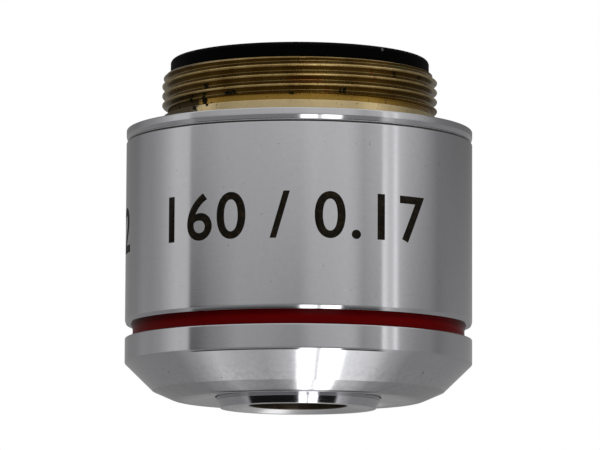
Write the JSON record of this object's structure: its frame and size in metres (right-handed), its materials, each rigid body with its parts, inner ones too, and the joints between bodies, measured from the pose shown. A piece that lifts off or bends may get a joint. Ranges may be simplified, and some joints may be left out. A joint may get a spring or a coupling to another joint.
{
  "type": "microscope objective",
  "caption": "Short cylindrical microscope objective: brass screw mount on top, satin chromed sleeve with a dark red band, two cones at the nose, small front lens.",
  "frame": {"origin": "centre of the mounting shoulder face, on the optical axis", "axes": "+Z along the optical axis, from the shoulder towards the thread; the nose points to -Z; -Y is the side seen in the picture"},
  "size_m": [0.0254, 0.0254, 0.0257],
  "materials": {
    "brass": "turned, tarnished",
    "satin_chrome": "satin",
    "red_enamel": "gloss",
    "black_anodised": "black anodised, matt",
    "blackened_brass": "chemically blackened",
    "shim_steel": "rolled",
    "crown_glass": "polished, coated",
    "flint_glass": "polished, coated"
  },
  "bodies": {
    "root": {"thread_mount": "brass", "shoulder_ring": "satin_chrome", "outer_sleeve": "satin_chrome", "colour_band": "red_enamel", "rear_lock_ring": "black_anodised", "parfocal_shim": "shim_steel", "lens_barrel": "satin_chrome", "front_lens": "crown_glass", "front_lens_ring": "blackened_brass", "front_cell": "blackened_brass", "front_crown_lens": "crown_glass", "front_flint_lens": "flint_glass", "front_cell_ring": "blackened_brass", "front_spacer": "black_anodised", "negative_cell": "blackened_brass", "negative_lens": "flint_glass", "negative_cell_ring": "blackened_brass", "rear_spacer": "black_anodised", "rear_cell": "blackened_brass", "rear_flint_lens": "flint_glass", "rear_crown_lens": "crown_glass", "rear_cell_ring": "blackened_brass", "aperture_stop": "black_anodised", "stack_ring": "black_anodised"}
  },
  "joints": []
}
